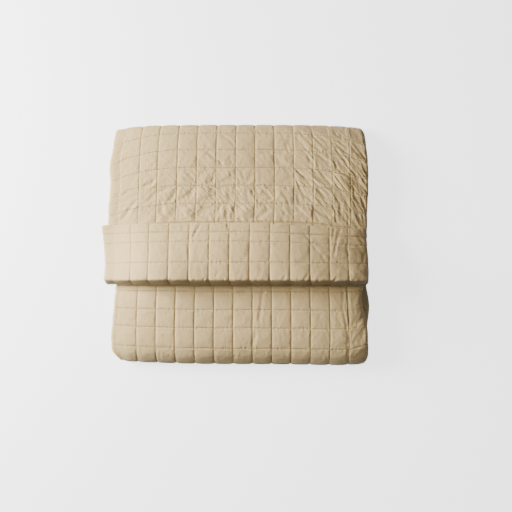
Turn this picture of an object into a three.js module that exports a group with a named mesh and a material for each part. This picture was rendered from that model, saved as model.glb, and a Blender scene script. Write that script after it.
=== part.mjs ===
// Quilted bedspread, folded. Its width is folded in four, edges inwards, into one long strip of four plies.
// The strip is then turned over from the front and from the back, and the end of the back flap is turned
// back on itself as a cuff. Sizes in millimetres: X across the packet, Y from front to back, Z up from the
// surface it lies on.
import * as THREE from "three";

// The quilt and the strip of four plies
const SQUARE = 50;
const PLY = 6;
const PITCH = 6.8;
const STRIP_HALF = 1.5 * PITCH + PLY / 2;
const HALF_WIDTH = 331;
const LEFT_FOLD = PITCH / 2;
const RIGHT_FOLD = 1.5 * PITCH;
const LEFT_X = -HALF_WIDTH + PLY / 2 + LEFT_FOLD;
const RIGHT_X = HALF_WIDTH - PLY / 2 - RIGHT_FOLD;
const HEM_X = RIGHT_X - 8;
const SEAM_X = 30;
const PUFF = 2.6;
const HEM_THIN = 0.7;
const HEM_REACH = 60;

// The strip's way through the packet, seen from its side
const ROLL = STRIP_HALF + 1.2;
const LOW_Z = STRIP_HALF;
const HIGH_Z = LOW_Z + 2 * ROLL;
const FRONT_Y = -281;
const BACK_Y = 296.5;
const FLAP_HEM_Y = -98;
const FLAP_DIP = 5;
const FLAP_DIP_REACH = 70;
const CUFF_Y = -86;
const CUFF_HEM_Y = 47.5;
const CUFF_LIFT = 19;
const LIFT_START_Y = -14;
const CUFF_FALL = 130;
const CUFF_SINK = 3;

// Where each leg of the strip lies across the packet: its shift, its spread and the slide of the quilting inside it
const ZONES = [
  { leg: 0, shift: -2.5, spread: 0.975, slide: 0 },
  { leg: 2, shift: -2.5, spread: 0.975, slide: 0 },
  { leg: 3.5, shift: -8, spread: 1.006, slide: 11 },
  { leg: 4.4, shift: -9, spread: 1.012, slide: 12 },
  { leg: 5, shift: -12.5, spread: 1.016, slide: 8 },
  { leg: 6, shift: -18.7, spread: 0.995, slide: 8 },
  { leg: 7, shift: -26, spread: 1.016, slide: 8 },
];
// Sides that stand out or draw in: the right ends of the front flap, the bottom and the cuff, then the bulging edges
const SIDE_MOVES = [
  { legs: [0], side: 1, start: 262, reach: 58, y: -150, reachY: 58, move: -14 },
  { legs: [2], side: 1, start: 230, reach: 90, y: -165, reachY: 52, move: 11 },
  { legs: [5, 6], side: 1, start: 285, reach: 35, y: -60, reachY: 62, move: 6 },
  { legs: [0, 1], side: -1, start: 262, reach: 58, y: -262, reachY: 80, move: -7 },
  { legs: [3, 4], side: -1, start: 280, reach: 45, y: 240, reachY: 32, move: -6 },
  { legs: [3, 4], side: -1, start: 280, reach: 45, y: 95, reachY: 85, move: -6 },
  { legs: [3, 4], side: 1, start: 280, reach: 45, y: 225, reachY: 90, move: 5 },
];
// How far each edge draws in towards its corners
const EDGES = [
  { side: -1, end: 1, corner: 8, bow: 3 },
  { side: 1, end: 1, corner: 9, bow: 3 },
  { side: -1, end: -1, corner: 3, bow: 8 },
  { side: 1, end: -1, corner: 14, bow: -6 },
];
// The back flap's quilting is pulled forward at its two sides, and the cuff's hem slants towards the right
const PULLS = [
  { side: -1, start: 150, reach: 185, pull: 24 },
  { side: 1, start: 190, reach: 140, pull: 17 },
];
const PULL_END_Y = 60;
const CUFF_SLANT = { start: -40, reach: 400, pull: 12 };
// Places where the soft stack lies lower, as a share of its height
const SLUMPS = [
  { x: -400, y: 90, reachX: 150, reachY: 330, share: 0.2 },
  { x: 400, y: 90, reachX: 150, reachY: 330, share: 0.2 },
  { x: -345, y: 60, reachX: 62, reachY: 900, share: 0.13 },
  { x: 345, y: 60, reachX: 58, reachY: 900, share: 0.1 },
  { x: -400, y: -20, reachX: 170, reachY: 95, share: 0.23 },
  { x: 400, y: -20, reachX: 170, reachY: 95, share: 0.23 },
  { x: 320, y: -255, reachX: 75, reachY: 110, share: 0.1 },
  { x: 332, y: -165, reachX: 26, reachY: 50, share: 0.26 },
  { x: 0, y: 335, reachX: 1500, reachY: 72, share: 0.3 },
  { x: 0, y: 345, reachX: 1500, reachY: 42, share: 0.5 },
  { x: 0, y: -320, reachX: 1500, reachY: 72, share: 0.15 },
  { x: 0, y: -330, reachX: 1500, reachY: 40, share: 0.55 },
];
// Long soft waves of the layers
const WAVES = [
  { lengthX: 310, lengthY: 640, turn: 0.6, share: 0.012 },
  { lengthX: 520, lengthY: -260, turn: 2.1, share: 0.011 },
  { lengthX: 176, lengthY: 395, turn: 4.0, share: 0.007 },
];

const clamp01 = (value) => Math.min(1, Math.max(0, value));
const ease = (value) => {
  const f = clamp01(value);
  return f * f * (3 - 2 * f);
};
const mix = (from, to, share) => from + (to - from) * share;

// The strip's middle line: leg 0 front flap, 1 front roll, 2 bottom, 3 back roll, 4 back flap, 5 cuff roll, 6 cuff
function wayPoint(leg, share) {
  const around = Math.PI * share;
  if (leg === 0) {
    const y = mix(FLAP_HEM_Y, FRONT_Y, share);
    return [y, HIGH_Z - FLAP_DIP * (1 - ease((FLAP_HEM_Y - y) / FLAP_DIP_REACH))];
  }
  if (leg === 1) {
    return [FRONT_Y - ROLL * Math.sin(around), LOW_Z + ROLL + ROLL * Math.cos(around)];
  }
  if (leg === 2) {
    return [mix(FRONT_Y, BACK_Y, share), LOW_Z];
  }
  if (leg === 3) {
    return [BACK_Y + ROLL * Math.sin(around), LOW_Z + ROLL - ROLL * Math.cos(around)];
  }
  if (leg === 4) {
    const y = mix(BACK_Y, CUFF_Y, share);
    return [y, HIGH_Z + CUFF_LIFT * ease((LIFT_START_Y - y) / (LIFT_START_Y - CUFF_Y))];
  }
  if (leg === 5) {
    return [CUFF_Y - ROLL * Math.sin(around), HIGH_Z + CUFF_LIFT + ROLL - ROLL * Math.cos(around)];
  }
  const y = mix(CUFF_Y, CUFF_HEM_Y, share);
  const sink = CUFF_SINK * ease(1 - (CUFF_HEM_Y - y) / HEM_REACH);
  return [y, HIGH_Z + 2 * ROLL + CUFF_LIFT * (1 - ease((y - CUFF_Y) / CUFF_FALL)) - sink];
}

function wayFrame(leg, share) {
  const step = 0.002;
  const here = wayPoint(leg, share);
  const before = wayPoint(leg, Math.max(0, share - step));
  const after = wayPoint(leg, Math.min(1, share + step));
  const length = Math.hypot(after[0] - before[0], after[1] - before[1]);
  return { y: here[0], z: here[1], normalY: -(after[1] - before[1]) / length, normalZ: (after[0] - before[0]) / length };
}

// The strip's cross-section: 0 inner ply, 1 left fold, 2 lower ply, 3 right fold, 4 upper ply, 5 left fold, 6 inner ply
function plyPoint(part, share) {
  const around = Math.PI * (0.5 + share);
  if (part === 0) {
    return { x: mix(HEM_X, LEFT_X, share), rise: -PITCH / 2, outX: 0, outRise: 1 };
  }
  if (part === 1) {
    const outX = Math.cos(around);
    const outRise = Math.sin(around);
    return { x: LEFT_X + LEFT_FOLD * outX, rise: -PITCH + LEFT_FOLD * outRise, outX, outRise };
  }
  if (part === 2) {
    return { x: mix(LEFT_X, RIGHT_X, share), rise: -1.5 * PITCH, outX: 0, outRise: -1 };
  }
  if (part === 3) {
    const outX = -Math.cos(around);
    const outRise = -Math.sin(around);
    return { x: RIGHT_X + RIGHT_FOLD * outX, rise: RIGHT_FOLD * outRise, outX, outRise };
  }
  if (part === 4) {
    return { x: mix(RIGHT_X, LEFT_X, share), rise: 1.5 * PITCH, outX: 0, outRise: 1 };
  }
  if (part === 5) {
    const outX = Math.cos(around);
    const outRise = Math.sin(around);
    return { x: LEFT_X + LEFT_FOLD * outX, rise: PITCH + LEFT_FOLD * outRise, outX, outRise };
  }
  return { x: mix(LEFT_X, HEM_X, share), rise: PITCH / 2, outX: 0, outRise: -1 };
}

// Across the packet: the leg's own shift and spread, and the quilting's slide between its two sides
function zonePlace(x, place) {
  const next = Math.max(1, ZONES.findIndex((row) => row.leg >= place));
  const low = ZONES[next - 1];
  const high = ZONES[next];
  const share = ease((place - low.leg) / (high.leg - low.leg));
  const inside = clamp01(1 - (x / HALF_WIDTH) ** 6);
  const slide = mix(low.slide, high.slide, share) * inside;
  return mix(low.shift, high.shift, share) + mix(low.spread, high.spread, share) * x + slide;
}

// A side's own bulge or draw on its leg; on a roll it grows towards the flap above
function sideMove(leg, share, x, y) {
  const grown = leg === 1 ? 1 - ease(share) : leg % 2 === 1 ? ease(share) : 1;
  let move = 0;
  for (const row of SIDE_MOVES.filter((entry) => entry.legs.includes(leg))) {
    const near = Math.exp(-(((y - row.y) / row.reachY) ** 2));
    move += row.move * ease((row.side * x - row.start) / row.reach) * near * grown;
  }
  return move;
}

// The cuff's roll is pressed to a sharp edge at its top and falls steeply from there
const PRESS_TURN = 27.5 * Math.PI / 180;
const PRESS_LEAN = 0.22;
const PRESS_SHARP = 16;

function pressRoll(y, z) {
  const middleZ = HIGH_Z + CUFF_LIFT + ROLL;
  const down = CUFF_Y - y;
  const up = z - middleZ;
  const turn = Math.atan2(down, up);
  const top = Math.cos(turn) > 1e-3 ? 1 / Math.cos(turn) : 1000;
  const face = (Math.tan(PRESS_TURN) + PRESS_LEAN) / Math.max(1e-3, Math.sin(turn) + PRESS_LEAN * Math.cos(turn));
  const pressed = (top ** -PRESS_SHARP + face ** -PRESS_SHARP) ** (-1 / PRESS_SHARP);
  const scale = mix(Math.min(1.2, pressed), 1, ease((Math.abs(turn) - 1.7) / 0.4));
  return [CUFF_Y - down * scale, middleZ + up * scale];
}

// Along the packet: the pull at the back flap's sides and the slant of the cuff
function pullAt(leg, share, x, y) {
  if (leg === 6) {
    return CUFF_SLANT.pull * ease((x - CUFF_SLANT.start) / CUFF_SLANT.reach) * ease(share);
  }
  if (leg !== 3 && leg !== 4) {
    return 0;
  }
  let pull = 0;
  for (const row of PULLS) {
    pull += row.pull * Math.max(0, (row.side * x - row.start) / row.reach) ** 2;
  }
  return pull * ease(leg === 3 ? 2 * share - 1 : y / PULL_END_Y);
}

// The soft packet's own shape: corners drawn in, sides and ends lower, long waves
function settle(x, y, z) {
  let drawn = 0;
  for (const row of EDGES) {
    if (Math.sign(x) === row.side && Math.sign(y) === row.end) {
      const out = Math.abs(x) / HALF_WIDTH;
      drawn = row.end * (row.corner * Math.min(1.1, out ** 10) + row.bow * out ** 2) * ease(Math.abs(y) / BACK_Y);
    }
  }
  let height = 1;
  for (const row of SLUMPS) {
    const far = ((x - row.x) / row.reachX) ** 2 + ((y - row.y) / row.reachY) ** 2;
    height *= 1 - row.share * Math.exp(-far);
  }
  for (const row of WAVES) {
    height += row.share * Math.sin(2 * Math.PI * (x / row.lengthX + y / row.lengthY) + row.turn);
  }
  return [x, y - drawn, z * height];
}

// Stations along the strip. A seam is a line of quilting; show names the ply whose outside is seen there
const LEG_LENGTH = [FRONT_Y - FLAP_HEM_Y, 0, 0, 0, CUFF_Y - BACK_Y, 0, CUFF_HEM_Y - CUFF_Y];
const LEG_START = [FLAP_HEM_Y, 0, 0, 0, BACK_Y, 0, CUFF_Y];
const SEAM_ROWS = [
  { leg: 0, rows: [-127, -172, -217, -268] },
  { leg: 4, rows: [245, 196, 149, 101, 54] },
  { leg: 6, rows: [-57, -4, 21] },
];
const HIDDEN_ROWS = [
  { leg: 4, rows: [12, -12, -36, -60] },
];
const ROLL_ROWS = {
  1: { shares: [1 / 6, 1 / 3, 1 / 2, 2 / 3, 5 / 6], seams: [1 / 2] },
  3: { shares: [1 / 6, 1 / 3, 1 / 2, 2 / 3, 5 / 6], seams: [1 / 2] },
  5: { shares: [1 / 6, 1 / 3, 1 / 2, 2 / 3, 0.845], seams: [1 / 3, 0.845] },
};
const BOTTOM_STEPS = 4;
const QUILT_SHARES = [0.2, 0.8];

function makeStations() {
  const stations = [];
  for (let leg = 0; leg < 7; leg++) {
    const shares = [{ share: 0, seam: leg === 0 || leg === 4 }];
    if (leg in ROLL_ROWS) {
      for (const share of ROLL_ROWS[leg].shares) {
        shares.push({ share, seam: ROLL_ROWS[leg].seams.includes(share) });
      }
    }
    if (leg === 2) {
      for (let i = 1; i < BOTTOM_STEPS; i++) {
        shares.push({ share: i / BOTTOM_STEPS, seam: true });
      }
    }
    for (const [rows, seam] of [[SEAM_ROWS, true], [HIDDEN_ROWS, false]]) {
      for (const row of rows.filter((entry) => entry.leg === leg)) {
        for (const y of row.rows) {
          shares.push({ share: (y - LEG_START[leg]) / LEG_LENGTH[leg], seam });
        }
      }
    }
    shares.sort((a, b) => a.share - b.share);
    for (const entry of shares) {
      stations.push({ leg, share: entry.share, seam: entry.seam });
    }
  }
  stations.push({ leg: 6, share: 1, seam: true });
  return stations;
}
const stations = makeStations();
const lastStation = stations.length - 1;
const flapCover = stations.filter((entry) => entry.leg < 4).length + SEAM_ROWS[1].rows.length;

// How much of the quilting's puff a place along the strip shows on the ply that is outside there
function showing(part, place) {
  const row = Math.min(lastStation - 1, Math.floor(place));
  const { leg } = stations[row];
  if (part === 2) {
    return leg === 0 || leg === 1 || leg === 3 || (leg === 4 && row < flapCover);
  }
  return part === 4 && leg >= 5;
}

function rowPuff(place) {
  const low = Math.floor(place);
  if (place > low) {
    return 1;
  }
  const here = stations[low];
  if (here.seam) {
    return 0;
  }
  if (here.leg === 1) {
    return 1 - ease((here.share - 0.5) * 2);
  }
  if (here.leg === 3) {
    return ease(here.share * 2);
  }
  if (here.leg === 5) {
    return ease(here.share * 3);
  }
  return here.leg === 2 ? 0 : 1;
}

// Along the strip: a whole number is a station, the rest lies between two of them
function stationAt(place) {
  const low = Math.min(lastStation, Math.floor(place));
  const here = stations[low];
  if (place === low) {
    return here;
  }
  const next = stations[low + 1];
  return { leg: here.leg, share: mix(here.share, next.leg === here.leg ? next.share : 1, place - low) };
}

function clothPoint(around, place, face, puff) {
  const part = Math.min(6, Math.floor(around));
  const ply = plyPoint(part, around - part);
  const { leg, share } = stationAt(place);
  const way = wayFrame(leg, share);
  const off = face * PLY / 2 + puff;
  const fromHem = leg === 0 ? FLAP_HEM_Y - way.y : leg === 6 ? CUFF_HEM_Y - way.y : HEM_REACH;
  const thin = mix(HEM_THIN, 1, ease(fromHem / HEM_REACH));
  const rise = (ply.rise + off * ply.outRise) * thin;
  const across = ply.x + off * ply.outX;
  const x = zonePlace(across, leg + share) + sideMove(leg, share, across, way.y);
  const along = way.y + way.normalY * rise;
  const up = way.z + way.normalZ * rise;
  const [y, z] = leg === 5 ? pressRoll(along, up) : [along, up];
  return settle(x, y - pullAt(leg, share, x, way.y), z);
}

// Columns of the plies: seen ones follow the quilting, hidden ones are wide
const plyShare = (part, x) => (part === 4 ? (RIGHT_X - x) : (x - LEFT_X)) / (RIGHT_X - LEFT_X);
const WIDE_X = [-6, -4, 3, 5].map((count) => SEAM_X + count * SQUARE);

function wideShares(part, side) {
  if (part === 1 || part === 5) {
    return [0, 1 / 3, 2 / 3, 1];
  }
  if (part === 3) {
    return [0, 0.25, 0.5, 0.75, 1];
  }
  const inner = part === 0 || part === 6;
  const from = inner ? HEM_X : RIGHT_X;
  const marks = inner || side > 0 ? WIDE_X : [...WIDE_X, HEM_X];
  const shares = marks.map((x) => (x - LEFT_X) / (from - LEFT_X));
  const all = [0, ...shares, 1];
  return part === 0 || part === 4 ? all.map((share) => 1 - share).reverse() : all;
}

function quiltShares(part) {
  const seams = [];
  for (let x = SEAM_X - 6 * SQUARE; x < RIGHT_X - SQUARE / 4; x += SQUARE) {
    seams.push(plyShare(part, x));
  }
  return [0, ...seams.sort((a, b) => a - b), 1];
}

function refined(marks) {
  const all = [];
  for (let i = 0; i + 1 < marks.length; i++) {
    all.push({ at: marks[i], puff: 0 });
    for (const share of QUILT_SHARES) {
      all.push({ at: mix(marks[i], marks[i + 1], share), puff: 1 });
    }
  }
  all.push({ at: marks[marks.length - 1], puff: 0 });
  return all;
}

// One face of the cloth: its points are kept by their place, so that neighbouring patches share them
const tidy = (value) => Math.round(value * 1e6) / 1e6;
const positions = [];

class Face {
  constructor(side) {
    this.side = side;
    this.points = new Map();
    this.acrossAt = new Map();
    this.alongAt = new Map();
    this.triangles = [];
  }

  point(across, along, puff) {
    const u = tidy(across);
    const v = tidy(along);
    const key = `${u}|${v}`;
    if (!this.points.has(key)) {
      this.points.set(key, positions.length / 3);
      positions.push(...clothPoint(u, v, this.side, puff));
      this.note(this.acrossAt, v, u);
      this.note(this.alongAt, u, v);
    }
    return this.points.get(key);
  }

  note(lists, key, value) {
    if (!lists.has(key)) {
      lists.set(key, []);
    }
    lists.get(key).push(value);
  }

  add(a, b, c) {
    this.triangles.push(this.side > 0 ? [a, c, b] : [a, b, c]);
  }

  // A rectangle of the cloth with whatever points its neighbours put on its edges
  fill(left, right, near, far) {
    const [u0, u1, v0, v1] = [left, right, near, far].map(tidy);
    const between = (list, low, high) => list.filter((value) => value >= low && value < high).sort((a, b) => a - b);
    const backwards = (list, low, high) => list.filter((value) => value > low && value <= high).sort((a, b) => b - a);
    const ring = [
      ...between(this.acrossAt.get(v0), u0, u1).map((u) => this.point(u, v0, 0)),
      ...between(this.alongAt.get(u1), v0, v1).map((v) => this.point(u1, v, 0)),
      ...backwards(this.acrossAt.get(v1), u0, u1).map((u) => this.point(u, v1, 0)),
      ...backwards(this.alongAt.get(u0), v0, v1).map((v) => this.point(u0, v, 0)),
    ];
    if (ring.length === 4) {
      const turn = slant(u0, v0);
      this.add(ring[turn], ring[turn + 1], ring[turn + 2]);
      this.add(ring[turn], ring[turn + 2], ring[(turn + 3) % 4]);
      return;
    }
    const middle = positions.length / 3;
    const corners = [[u0, v0], [u1, v0], [u1, v1], [u0, v1]].map(([u, v]) => this.point(u, v, 0));
    for (let axis = 0; axis < 3; axis++) {
      positions.push(corners.reduce((sum, corner) => sum + positions[3 * corner + axis], 0) / 4);
    }
    ring.forEach((point, i) => this.add(point, ring[(i + 1) % ring.length], middle));
  }
}

// Plies that lie on each other split their rectangles along the same slant
function slant(around, place) {
  const part = Math.min(6, Math.floor(around));
  const { leg } = stations[Math.floor(place)];
  return (part % 4 === 0) === (leg % 4 === 0) ? 0 : 1;
}

function isFlatRow(row) {
  return stations[row].leg % 2 === 0;
}

function buildFace(side) {
  const face = new Face(side);
  const wide = [];
  for (let part = 0; part < 7; part++) {
    for (let row = 0; row < lastStation; row++) {
      if (side > 0 && showing(part, row)) {
        const columns = refined(quiltShares(part));
        const rows = isFlatRow(row) ? [0, ...QUILT_SHARES, 1] : [0, 1];
        const grid = rows.map((share) => columns.map((column) => {
          const puff = PUFF * column.puff * rowPuff(tidy(row + share));
          return face.point(part + column.at, row + share, puff);
        }));
        for (let j = 0; j + 1 < grid.length; j++) {
          for (let i = 0; i + 1 < columns.length; i++) {
            face.add(grid[j][i], grid[j][i + 1], grid[j + 1][i + 1]);
            face.add(grid[j][i], grid[j + 1][i + 1], grid[j + 1][i]);
          }
        }
        continue;
      }
      const shares = wideShares(part, side);
      for (let i = 0; i + 1 < shares.length; i++) {
        const patch = [part + shares[i], part + shares[i + 1], row, row + 1];
        for (const u of [patch[0], patch[1]]) {
          face.point(u, row, 0);
          face.point(u, row + 1, 0);
        }
        wide.push(patch);
      }
    }
  }
  wide.forEach((patch) => face.fill(...patch));
  return face;
}

// The rim that joins the two faces along one edge of the cloth
function joinEdges(outer, inner, outerMarks, innerMarks, flip) {
  const triangles = [];
  const add = (a, b, c) => triangles.push(flip ? [a, b, c] : [a, c, b]);
  let i = 0;
  let j = 0;
  while (i + 1 < outer.length || j + 1 < inner.length) {
    const stepOuter = j + 1 >= inner.length || (i + 1 < outer.length && outerMarks[i + 1] <= innerMarks[j + 1]);
    if (stepOuter) {
      add(outer[i], inner[j], outer[i + 1]);
      i += 1;
    } else {
      add(outer[i], inner[j], inner[j + 1]);
      j += 1;
    }
  }
  return triangles;
}

function buildCloth() {
  const outside = buildFace(1);
  const inside = buildFace(-1);
  const triangles = [...outside.triangles, ...inside.triangles];
  const sorted = (list) => [...list].sort((a, b) => a - b);
  for (const [u, flip] of [[0, true], [7, false]]) {
    const [a, b] = [outside, inside].map((face) => sorted(face.alongAt.get(u)));
    const line = (face, marks) => marks.map((v) => face.point(u, v, 0));
    triangles.push(...joinEdges(line(outside, a), line(inside, b), a, b, flip));
  }
  for (const [v, flip] of [[0, false], [lastStation, true]]) {
    const [a, b] = [outside, inside].map((face) => sorted(face.acrossAt.get(v)));
    const line = (face, marks) => marks.map((u) => face.point(u, v, 0));
    triangles.push(...joinEdges(line(outside, a), line(inside, b), a, b, flip));
  }
  return triangles;
}

const triangles = buildCloth();
const box = new THREE.Box3().setFromArray(positions);
const middle = box.getCenter(new THREE.Vector3());
const geometry = new THREE.BufferGeometry();
geometry.setAttribute("position", new THREE.Float32BufferAttribute(positions, 3));
geometry.setIndex(triangles.flat());
geometry.translate(-middle.x, -middle.y, 0);
geometry.computeVertexNormals();

const cotton = new THREE.MeshStandardMaterial({ color: 0xc9b997, roughness: 0.85, metalness: 0 });
const bedspread = new THREE.Mesh(geometry, cotton);
bedspread.name = "quilted_bedspread";

const group = new THREE.Group();
group.add(bedspread);
export default group;
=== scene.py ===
import math
import bpy
import numpy as np
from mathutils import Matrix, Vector


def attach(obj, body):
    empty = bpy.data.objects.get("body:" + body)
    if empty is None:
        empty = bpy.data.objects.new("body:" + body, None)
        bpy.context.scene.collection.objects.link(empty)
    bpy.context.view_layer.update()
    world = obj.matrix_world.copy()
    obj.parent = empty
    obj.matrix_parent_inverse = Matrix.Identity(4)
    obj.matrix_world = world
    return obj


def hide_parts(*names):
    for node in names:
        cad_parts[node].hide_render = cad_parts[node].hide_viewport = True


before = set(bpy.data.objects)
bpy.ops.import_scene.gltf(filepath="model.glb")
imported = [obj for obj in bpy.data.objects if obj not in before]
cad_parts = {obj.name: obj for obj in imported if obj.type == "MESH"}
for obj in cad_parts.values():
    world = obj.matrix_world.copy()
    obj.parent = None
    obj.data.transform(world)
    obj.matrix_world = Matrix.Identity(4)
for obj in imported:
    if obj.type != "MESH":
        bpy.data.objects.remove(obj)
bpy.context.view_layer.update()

# The folded bedspread, in millimetres until it becomes a mesh: the same fold as the solid.
SQUARE = 50.0
PLY = 6.0
PITCH = 6.8
STRIP_HALF = 1.5 * PITCH + PLY / 2
HALF_WIDTH = 331.0
LEFT_FOLD = PITCH / 2
RIGHT_FOLD = 1.5 * PITCH
LEFT_X = -HALF_WIDTH + PLY / 2 + LEFT_FOLD
RIGHT_X = HALF_WIDTH - PLY / 2 - RIGHT_FOLD
HEM_X = RIGHT_X - 8
SEAM_X = 30.0
SEAMS_X = [SEAM_X + SQUARE * k for k in range(-7, 6)]
HEM_THIN = 0.7
HEM_REACH = 60.0
HEM_ROUND = 3.0
ROLL = STRIP_HALF + 1.2
OUTER = ROLL + STRIP_HALF
LOW_Z = STRIP_HALF
HIGH_Z = LOW_Z + 2 * ROLL
FRONT_Y = -281.0
BACK_Y = 296.5
FLAP_HEM_Y = -98.0
FLAP_DIP = 5.0
FLAP_DIP_RATE = 2.6
CUFF_Y = -86.0
CUFF_HEM_Y = 47.5
CUFF_LIFT = 19.0
LIFT_START_Y = -14.0
CUFF_FALL = 130.0
CUFF_SINK = 3.0
CENTRE = (-15.39, 6.48)
SLIDE_SHARP = 6
WAY_STEP = 0.002
METRE = 1000
MILLIMETRE = 0.001
NO_LENGTH = 1e-6

# Each leg's place across the packet: sideways shift, spread of its width, slide of the quilting inside it
ZONES = [
    dict(leg=0.0, shift=-2.5, spread=0.975, slide=0),
    dict(leg=2.0, shift=-2.5, spread=0.975, slide=0),
    dict(leg=3.5, shift=-8.0, spread=1.006, slide=11),
    dict(leg=4.4, shift=-9.0, spread=1.012, slide=12),
    dict(leg=5.0, shift=-12.5, spread=1.016, slide=8),
    dict(leg=6.0, shift=-18.7, spread=0.995, slide=8),
    dict(leg=7.0, shift=-26.0, spread=1.016, slide=15.5),
]
# Sides that stand out or draw in: right ends of the front flap, bottom and cuff, then the bulging edges
SIDE_MOVES = [
    dict(legs=(0,), side=1, start=262, reach=58, y=-150, reach_y=58, move=-14),
    dict(legs=(2,), side=1, start=230, reach=90, y=-165, reach_y=52, move=11),
    dict(legs=(5, 6), side=1, start=285, reach=35, y=-60, reach_y=62, move=9),
    dict(legs=(6,), side=1, start=275, reach=45, y=32, reach_y=58, move=9),
    dict(legs=(0, 1), side=-1, start=262, reach=58, y=-262, reach_y=80, move=-7),
    dict(legs=(3, 4), side=-1, start=280, reach=45, y=240, reach_y=32, move=-6),
    dict(legs=(3, 4), side=-1, start=280, reach=45, y=95, reach_y=85, move=-6),
    dict(legs=(3, 4), side=1, start=280, reach=45, y=225, reach_y=90, move=5),
]
EDGES = [
    dict(side=-1, end=1, corner=8, bow=3),
    dict(side=1, end=1, corner=9, bow=3),
    dict(side=-1, end=-1, corner=3, bow=8),
    dict(side=1, end=-1, corner=14, bow=-6),
]
CORNER_SHARP = 10
CORNER_MOST = 1.1
# The front left corner is pressed in
CORNER = dict(start=280, reach=50, y=-310, reach_y=19, move=13)
SLUMPS = [
    dict(x=-400, y=90, reach_x=150, reach_y=330, share=0.2),
    dict(x=400, y=90, reach_x=150, reach_y=330, share=0.17),
    dict(x=-345, y=60, reach_x=62, reach_y=900, share=0.17),
    dict(x=345, y=60, reach_x=58, reach_y=900, share=0.08),
    dict(x=-400, y=-20, reach_x=170, reach_y=95, share=0.23),
    dict(x=400, y=-20, reach_x=170, reach_y=95, share=0.27),
    dict(x=380, y=-20, reach_x=70, reach_y=95, share=0.26),
    dict(x=-385, y=-20, reach_x=75, reach_y=95, share=0.3),
    dict(x=-370, y=-220, reach_x=60, reach_y=110, share=0.14),
    dict(x=300, y=-215, reach_x=110, reach_y=80, share=-0.07),
    dict(x=332, y=-165, reach_x=26, reach_y=50, share=0.26),
    dict(x=0, y=335, reach_x=1500, reach_y=72, share=0.3),
    dict(x=0, y=345, reach_x=1500, reach_y=42, share=0.5),
    dict(x=0, y=-320, reach_x=1500, reach_y=72, share=0.15),
    dict(x=0, y=-330, reach_x=1500, reach_y=40, share=0.55),
]
LEAST_HEIGHT = 0.3
WAVES = [
    dict(length_x=310, length_y=640, turn=0.6, share=0.012),
    dict(length_x=520, length_y=-260, turn=2.1, share=0.011),
    dict(length_x=176, length_y=395, turn=4.0, share=0.007),
]


def ease(value):
    f = np.clip(value, 0, 1)
    return f * f * (3 - 2 * f)


def mix(low, high, share):
    return low + (high - low) * share


def bell(value):
    return np.exp(-value ** 2)


def arch(share):
    return np.sqrt(np.clip(4 * share * (1 - share), 0, 1))


# How much of a row's hump is felt at a place, and a row's move at a distance out from the middle
def hump(row, x, y):
    return np.exp(-(((x - row["x"]) / row["reach_x"]) ** 2 + ((y - row["y"]) / row["reach_y"]) ** 2))


def eased_out(row, out):
    return row["move"] * ease((out - row["start"]) / row["reach"])


# Legs of the strip: 0 front flap, 1 front roll, 2 bottom, 3 back roll, 4 back flap, 5 cuff roll, 6 cuff
def way_point(leg, share):
    around = math.pi * share
    if leg == 0:
        return mix(FLAP_HEM_Y, FRONT_Y, share), HIGH_Z - FLAP_DIP * (1 - ease(share * FLAP_DIP_RATE))
    if leg == 1:
        return FRONT_Y - ROLL * np.sin(around), LOW_Z + ROLL + ROLL * np.cos(around)
    if leg == 2:
        return mix(FRONT_Y, BACK_Y, share), LOW_Z + 0 * share
    if leg == 3:
        return BACK_Y + ROLL * np.sin(around), LOW_Z + ROLL - ROLL * np.cos(around)
    if leg == 4:
        y = mix(BACK_Y, CUFF_Y, share)
        return y, HIGH_Z + CUFF_LIFT * ease((LIFT_START_Y - y) / (LIFT_START_Y - CUFF_Y))
    if leg == 5:
        return CUFF_Y - ROLL * np.sin(around), HIGH_Z + CUFF_LIFT + ROLL - ROLL * np.cos(around)
    y = mix(CUFF_Y, CUFF_HEM_Y, share)
    sink = CUFF_SINK * ease(1 - (CUFF_HEM_Y - y) / HEM_REACH)
    return y, HIGH_Z + 2 * ROLL + CUFF_LIFT * (1 - ease((y - CUFF_Y) / CUFF_FALL)) - sink


def way_frame(leg, share):
    y, z = way_point(leg, share)
    y0, z0 = way_point(leg, np.maximum(0, share - WAY_STEP))
    y1, z1 = way_point(leg, np.minimum(1, share + WAY_STEP))
    length = np.hypot(y1 - y0, z1 - z0)
    return y, z, -(z1 - z0) / length, (y1 - y0) / length


# Parts of the strip's section: 0 inner ply, 1 left fold, 2 lower ply, 3 right fold, 4 upper ply,
# 5 left fold, 6 inner ply. Gives x, rise and the way out of the cloth's face.
def ply_point(part, share):
    zero, one = np.zeros_like(share), np.ones_like(share)
    if part in (1, 3, 5):
        turn = math.pi * (share - 0.5) if part == 3 else math.pi * (share + 0.5)
        out_x, out_rise = np.cos(turn), np.sin(turn)
        middle_x, middle_rise, radius = {
            1: (LEFT_X, -PITCH, LEFT_FOLD),
            3: (RIGHT_X, 0, RIGHT_FOLD),
            5: (LEFT_X, PITCH, LEFT_FOLD),
        }[part]
        return middle_x + radius * out_x, middle_rise + radius * out_rise, out_x, out_rise
    start, end, rise, out = {
        0: (HEM_X, LEFT_X, -PITCH / 2, 1),
        2: (LEFT_X, RIGHT_X, -1.5 * PITCH, -1),
        4: (RIGHT_X, LEFT_X, 1.5 * PITCH, 1),
        6: (LEFT_X, HEM_X, PITCH / 2, -1),
    }[part]
    return mix(start, end, share), rise * one, zero, out * one


def zone_at(place):
    legs = np.array([row["leg"] for row in ZONES])
    index = np.clip(np.searchsorted(legs, place) - 1, 0, len(legs) - 2)
    share = ease((place - legs[index]) / (legs[index + 1] - legs[index]))[:, None]
    for key in ("shift", "spread", "slide"):
        values = np.array([row[key] for row in ZONES])
        yield mix(values[index][:, None], values[index + 1][:, None], share)


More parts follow.
